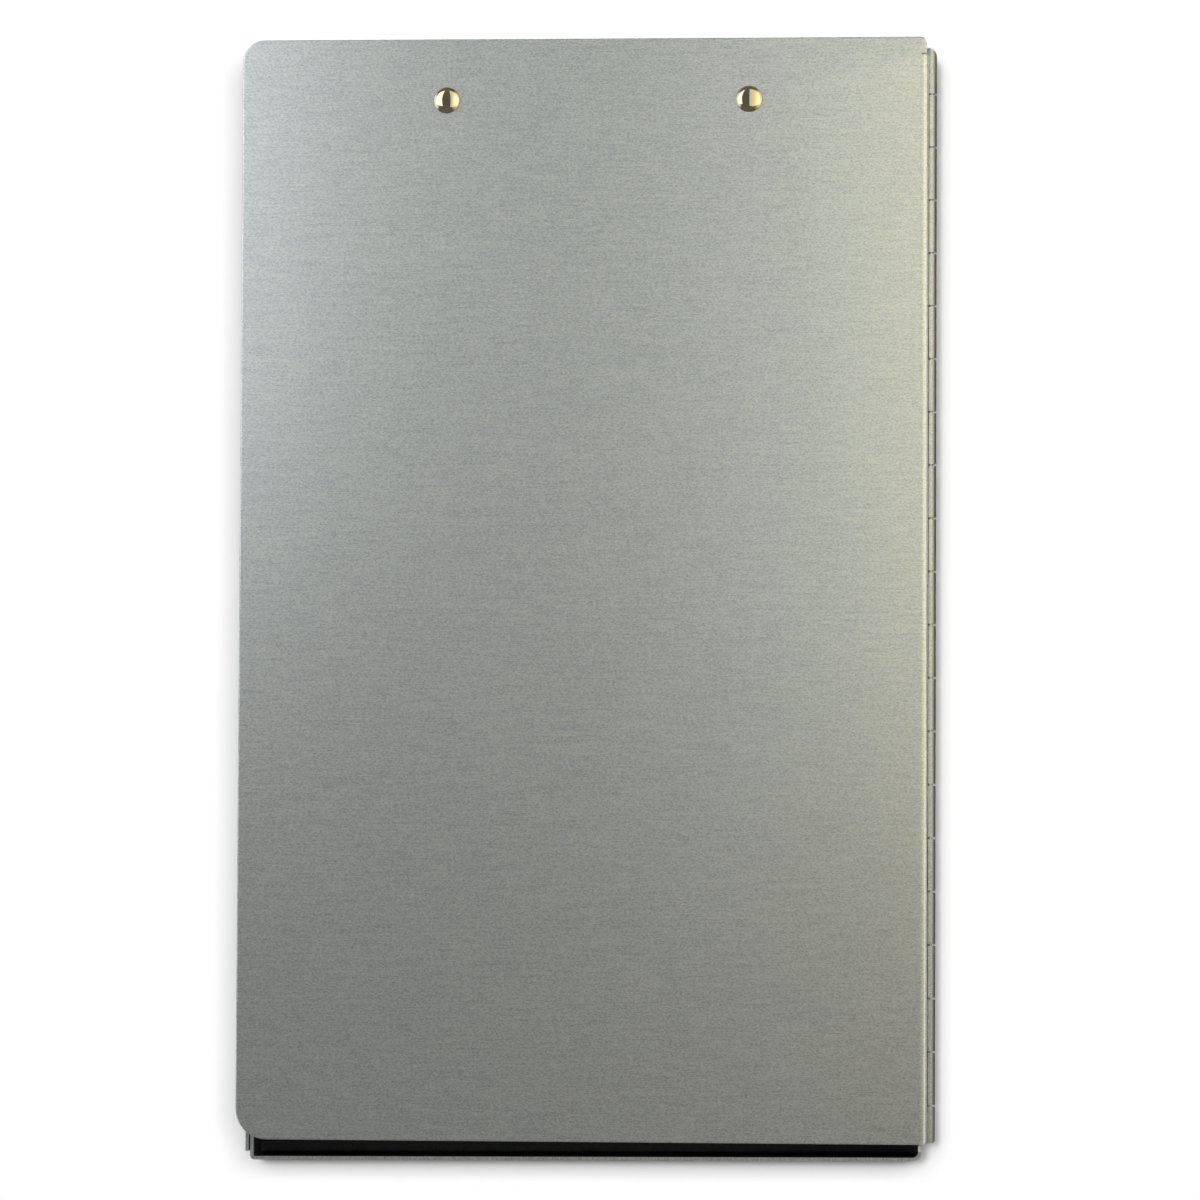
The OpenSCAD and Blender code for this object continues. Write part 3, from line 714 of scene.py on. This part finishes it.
def jaw_pads(finish):
    """Rubber channels on the jaw's edge, with ribs round their grip."""
    for side in ("left", "right"):
        dressed("jaw_pad_" + side, finish, "pad_rubber", PAD_EDGE, segments=3)
    low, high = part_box("jaw_pad_left")
    width = high.x - low.x
    count = int(width / RIB_PITCH)
    tree = Grower("pad_ribs", {
        "Rib Diameter": RIB_D, "Rib Sides": RIB_SIDES, "Rib Pitch": RIB_PITCH, "Rib Count": count
    })
    rib = tree.wire(tree.size("Rib Diameter"), tree.size("Rib Sides"))
    row = tree.node("GeometryNodeMeshLine", {"mode": "OFFSET"}, {
        "Count": tree.size("Rib Count"), "Offset": tree.vector(tree.size("Rib Pitch"), 0.0, 0.0)
    })
    tree.end(tree.node("GeometryNodeInstanceOnPoints", None, {"Points": row, "Instance": rib}), finish)
    first_x = low.x + (width - (count - 1) * RIB_PITCH) / 2
    mesh = smoothed(tree.grow(line_mesh(rib_path(first_x, low, high))), WIRE_EDGE)
    twin = mesh.copy()
    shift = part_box("jaw_pad_right")[0].x - low.x
    twin.transform(Matrix.Translation((shift, 0, 0)))
    placed("jaw_pad_ribs_left", mesh, finish, "lever", "pad_rubber")
    placed("jaw_pad_ribs_right", twin, finish, "lever", "pad_rubber")


# ---- Marks and round edges of the folded sheets --------------------------------------------------

SHEET_T = 1.2 * MM
BORE_R = 0.85 * MM
KNUCKLE_R = BORE_R + SHEET_T
RING_R = 0.3 * MM  # the turned-in ends of the knuckles
OUTLINE_R = 0.55 * MM  # the plate's cut edge is tumbled round
FOLD_R = 0.5 * MM
ON_RADIUS = 0.02 * MM  # a point nearer than this to a radius lies on it
FACET_ON_RADIUS = 0.06 * MM  # the same for the middle of a flat facet
ON_TOP = 0.01 * MM
STRAIGHT = 0.99  # share of a direction along an axis above which it runs along that axis
RIM_LEVEL = 0.9  # upward share of a direction above which a face of the tray is level
RIM_LOW = 10 * MM  # and the height above which a level face is its rim
KNUCKLE_END = 0.5  # lengthwise share of a direction above which a face is a knuckle's end
CROWN_END = 0.1  # sideways share of a knuckle face's direction where its unshaded crown ends and painted shade starts
FLANK_START = 0.7  # and where its far flank starts, with the painted shade full
INSIDE_TOP = 22 * MM  # faces of the tray's inside lie below this height
INSIDE_RIGHT = 121 * MM  # and to the left of this
INSIDE_MIDDLE = Vector((0, 0, 20 * MM))  # and look towards this point
LEAST_FOLD = radians(12)
MOST_FOLD = radians(80)  # the strip's cut edges turn by more


def from_pin(place):
    """Distance of a point from the middle of the hinge pin."""
    pin = joint_place("plate_hinge")
    return hypot(place.x - pin.x, place.z - pin.z)


def far_flank(face):
    """How far a face on the outside of a rolled knuckle lies down its far flank, past its crown, where
    shade is painted.
    """
    off_radius = abs(from_pin(face.calc_center_median()) - KNUCKLE_R)
    if off_radius > FACET_ON_RADIUS or abs(face.normal.y) > KNUCKLE_END:
        return 0.0
    return min(1.0, max(0.0, (face.normal.x - CROWN_END) / (FLANK_START - CROWN_END)))


def on_ring(edge):
    """Is an edge on the outer corner of a knuckle's end?"""
    end_face = max(abs(face.normal.y) for face in edge.link_faces) > STRAIGHT
    return end_face and all(abs(from_pin(vert.co) - KNUCKLE_R) < ON_RADIUS for vert in edge.verts)


def on_rim(face):
    return face.normal.z > RIM_LEVEL and face.calc_center_median().z > RIM_LOW


def in_case(face):
    """Does a tray face look towards the inside of the case?"""
    middle = face.calc_center_median()
    looks_in = face.normal.dot(INSIDE_MIDDLE - middle) > 0
    return middle.z < INSIDE_TOP and middle.x < INSIDE_RIGHT and looks_in and not on_rim(face)


def tray_marks(shape):
    """Rounds the knuckles' ends, and marks the inside and the knuckles' far flanks, where painted shade
    goes.
    """
    bevelled(shape, outer_edges(shape, on_ring), RING_R, segments=3)
    marked(shape, "inside", in_case)
    marked(shape, "curl", far_flank)


def plate_marks(shape):
    """Rounds the knuckles' ends and the plate's outline, and marks the knuckles' far flanks, where painted
    shade goes.
    """
    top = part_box("back_plate")[1].z

    def on_outline(edge):
        return all(abs(vert.co.z - top) < ON_TOP for vert in edge.verts)

    bevelled(shape, outer_edges(shape, on_ring), RING_R, segments=3)
    bevelled(shape, outer_edges(shape, on_outline), OUTLINE_R, segments=4, clamp=False)
    marked(shape, "curl", far_flank)


def soft_folds(shape):
    """Rounds the folds of a strip whose folds run along the case."""
    def is_fold(edge):
        run = (edge.verts[1].co - edge.verts[0].co).normalized()
        return abs(run.y) > STRAIGHT and LEAST_FOLD < edge.calc_face_angle(0) < MOST_FOLD

    folds = [edge for edge in shape.edges if edge.is_manifold and is_fold(edge)]
    bevelled(shape, folds, FOLD_R, segments=4)


# ---- The case ------------------------------------------------------------------------------------

EDGE_BREAK = 0.14 * MM
LEVER_EDGE = 0.2 * MM
CATCH_EDGE = 0.08 * MM
PIN_END = 0.25 * MM
AXLE_END = 0.3 * MM
UP = (0, 0, 1)


def build_case():
    """Every piece of the case, in its own finish."""
    brushed = brushed_aluminium()
    mill = mill_aluminium()
    nickel = satin_nickel()
    steel = spring_steel()
    rivet_metal = rivet_aluminium()
    dressed("back_plate", brushed, "brushed_aluminium", EDGE_BREAK, before=plate_marks)
    dressed("storage_tray", mill, "sheet_aluminium", EDGE_BREAK, before=tray_marks)
    dressed("hinge_pin", drawn_wire(), "pin_steel", PIN_END, segments=3)
    dressed("clip_base", nickel, "clip_steel", EDGE_BREAK)
    dressed("clip_lever", nickel, "clip_steel", LEVER_EDGE)
    dressed("clip_axle", axle_steel(), "pin_steel", AXLE_END, segments=3)
    dressed("latch_catch", steel, "spring_steel", CATCH_EDGE, before=soft_folds)
    dressed("latch_striker", mill, "sheet_aluminium", EDGE_BREAK)
    set_rivets("clip_rivets", warm_nickel(), "rivet_nickel", UP, CLIP_RIVET)
    set_rivets("corner_rivets", rivet_metal, "rivet_aluminium", None, CORNER_RIVET)
    set_rivets("latch_rivets", rivet_metal, "rivet_aluminium", None, LATCH_RIVET)
    clip_spring(steel)
    jaw_pads(pad_rubber())


# ---- Floor, light and view -----------------------------------------------------------------------

FLOOR_HALF = 6.0
FLOOR_PALE = (0.90, 0.90, 0.90)


def floor():
    """A plain pale floor, far wider than the view."""
    paint = Finish("floor_paint")
    grit = paint.grain(per_metre=(300, 300, 300), detail=2.0)
    colour = paint.shade(FLOOR_PALE, 0.99 + 0.02 * grit)
    normal = paint.bump(grit, depth=10 * UM)
    corners = [(x * FLOOR_HALF, y * FLOOR_HALF, 0) for x, y in ((-1, -1), (1, -1), (1, 1), (-1, 1))]
    mesh = bpy.data.meshes.new("floor")
    mesh.from_pydata(corners, [], [(0, 1, 2, 3)])
    mesh.materials.append(paint.finish(colour, roughness=0.7, normal=normal, metallic=0.0))
    ground = added("floor", mesh)
    ground.visible_glossy = False  # the metal mirrors the darker room below it instead


WHITE = (1.0, 1.0, 1.0)
CREAM = (1.0, 0.995, 0.965)
COOL = (0.80, 0.93, 1.0)
WARM = (1.0, 0.825, 0.44)
SANDY = (1.0, 0.90, 0.72)
ROSY = (1.0, 0.94, 0.88)

ROOM_SIDES = 0.110  # brightness of the rosy room beside the case
ROOM_ENDS = 0.130  # and past its two ends
GROUND = 0.18  # and of the ground below
HORIZON = (-0.10, 0.05)  # upward share of a direction where the ground starts to fade, and is gone


def room():
    """What the metal mirrors far away: a dim rosy room with a white left wall and a sandy right one."""
    world = bpy.data.worlds.new("room")
    bpy.context.scene.world = world
    world.use_nodes = True
    world.cycles_visibility.diffuse = False
    sky = Tree(world.node_tree)
    outlook = sky.node("ShaderNodeTexCoord", output="Generated")
    direction = sky.node("ShaderNodeSeparateXYZ", None, [outlook])
    right = direction.out("X")
    up = direction.out("Z")
    along = sky.maths("ABSOLUTE", direction.out("Y"))
    walls = sky.shade(ROSY, sky.limit(along, 0.45, 0.95, ROOM_SIDES, ROOM_ENDS))
    for tint, level in (
        (WHITE, sky.limit(0.0 - right, 0.70, 0.96)),
        (SANDY, sky.limit(right, 0.41, 1.0)),
    ):
        walls = sky.vectors("ADD", walls, sky.shade(tint, level))
    below = sky.shade(WHITE, sky.limit(up, *HORIZON, GROUND, 0.0))
    above = sky.shade(walls, sky.limit(up, *HORIZON))
    light = sky.vectors("ADD", above, below)
    background = sky.node("ShaderNodeBackground", None, {"Color": light, "Strength": 1.0})
    sky.node("ShaderNodeOutputWorld", None, {"Surface": background})


def softbox(name, place, size, colour, radiance):
    """A flat light that faces down and isn't seen itself."""
    light = bpy.data.lights.new(name, "AREA")
    light.shape = "RECTANGLE"
    light.size, light.size_y = size
    light.color = colour
    light.energy = radiance * pi * size[0] * size[1]
    lamp = added(name, light)
    lamp.location = place
    lamp.visible_camera = False
    return lamp


def lights():
    """Two softboxes light the floor from above; three low cards give the metal its reflections."""
    for box in (
        softbox("key_box", (-0.768, 1.098, 12.0), size=(1.17, 1.32), colour=WHITE, radiance=108),
        softbox("fill_box", (1.128, 1.854, 12.0), size=(9.48, 4.86), colour=WHITE, radiance=9.2),
    ):
        box.visible_glossy = False
    for card in (
        softbox("cool_strip", (0.105, 0.401, 0.302), size=(0.09, 0.916), colour=COOL, radiance=0.68),
        softbox("white_card", (-0.395, 0.37, 0.234), size=(0.43, 0.68), colour=CREAM, radiance=1.45),
        softbox("warm_card", (0.475, 0.38, 0.302), size=(0.65, 0.96), colour=WARM, radiance=0.86),
    ):
        card.visible_diffuse = False


CAMERA_AT = (0.14565, -0.08755, 2.0)
CAMERA_TURN = (2.53, 4.06, 0.265)  # degrees
CAMERA_LENS = 166.9  # in millimetres, as the sensor is
CAMERA_SENSOR = 36
CAMERA_NEAREST = 0.01


def camera():
    """A long lens almost straight above the case."""
    lens = bpy.data.cameras.new("view")
    lens.lens = CAMERA_LENS
    lens.sensor_width = CAMERA_SENSOR
    lens.clip_start = CAMERA_NEAREST
    view = added("view", lens)
    view.location = CAMERA_AT
    view.rotation_euler = [radians(turn) for turn in CAMERA_TURN]
    bpy.context.scene.camera = view


camera()
build_case()
floor()
room()
lights()
bpy.context.scene.view_settings.view_transform = "Standard"
bpy.context.scene.cycles.caustics_reflective = False  # the metal throws no light back on the floor
